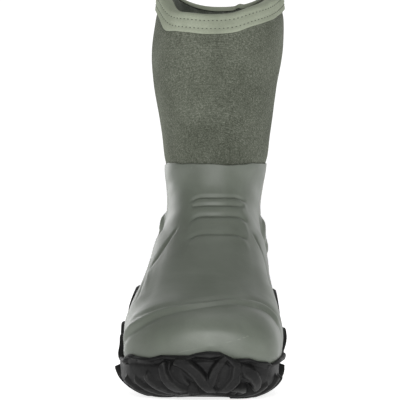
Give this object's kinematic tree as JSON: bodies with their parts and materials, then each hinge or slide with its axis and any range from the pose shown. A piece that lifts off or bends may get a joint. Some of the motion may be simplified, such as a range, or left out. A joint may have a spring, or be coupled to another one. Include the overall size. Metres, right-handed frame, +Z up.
{
  "type": "insulated hunting boot",
  "caption": "Pull-on insulated rubber boot: moulded olive foot shell with instep ribs, soft knitted foam shaft with stitched binding, lugged black outsole, removable footbed; right foot.",
  "frame": {"origin": "on the ground under the middle of the outsole's length and width", "axes": "+Z up, -Y towards the toe, +X towards the inner (medial) side of the foot"},
  "size_m": [0.1288, 0.3196, 0.32],
  "materials": {
    "olive_rubber": "matte moulded",
    "black_rubber": "matte moulded",
    "eva_foam": "closed-cell foam",
    "steel": "zinc plated",
    "neoprene_foam": "closed-cell foam",
    "fleece": "brushed fleece",
    "knit": "fine heathered knit",
    "binding_tape": "smooth elastic tape",
    "thread": "twisted polyester thread",
    "fibre_board": "pressed fibre board",
    "felt": "needled felt"
  },
  "bodies": {
    "foot": {"outsole": "black_rubber", "midsole": "eva_foam", "shank": "steel", "shell_foot": "olive_rubber", "shell_ankle_panel": "olive_rubber", "instep_ribs": "olive_rubber", "toe_bumper": "olive_rubber", "heel_counter": "olive_rubber", "quarter_lateral": "olive_rubber", "quarter_medial": "olive_rubber", "ankle_guard_lateral": "olive_rubber", "ankle_guard_medial": "olive_rubber", "foam_foot": "neoprene_foam", "foam_ankle_panel": "neoprene_foam", "lining_foot": "fleece", "lining_ankle_panel": "fleece", "lasting_board": "fibre_board", "thermal_felt": "felt"},
    "shaft": {"shell_collar": "olive_rubber", "foam_shaft": "neoprene_foam", "lining_shaft": "fleece", "shaft_fabric": "knit", "topline_binding": "binding_tape", "binding_stitch_upper": "thread", "binding_stitch_lower": "thread", "back_seam_tape": "knit", "inner_seam_tape": "binding_tape"},
    "footbed": {"footbed_foam": "eva_foam", "footbed_cover": "fleece"}
  },
  "joints": [
    {"name": "ankle_flex", "type": "hinge", "parent": "foot", "child": "shaft", "pos_m": [0.007, 0.068, 0.14], "axis": [1, 0, 0], "range_deg": [-12, 18], "stiffness_Nm_per_rad": 8, "deforming": ["shell_ankle_panel", "foam_ankle_panel", "lining_ankle_panel", "instep_ribs"]},
    {"name": "footbed_peel", "type": "hinge", "parent": "foot", "child": "footbed", "pos_m": [0.004, -0.1388, 0.0429], "axis": [1, 0, 0], "range_deg": [0, 10]}
  ]
}
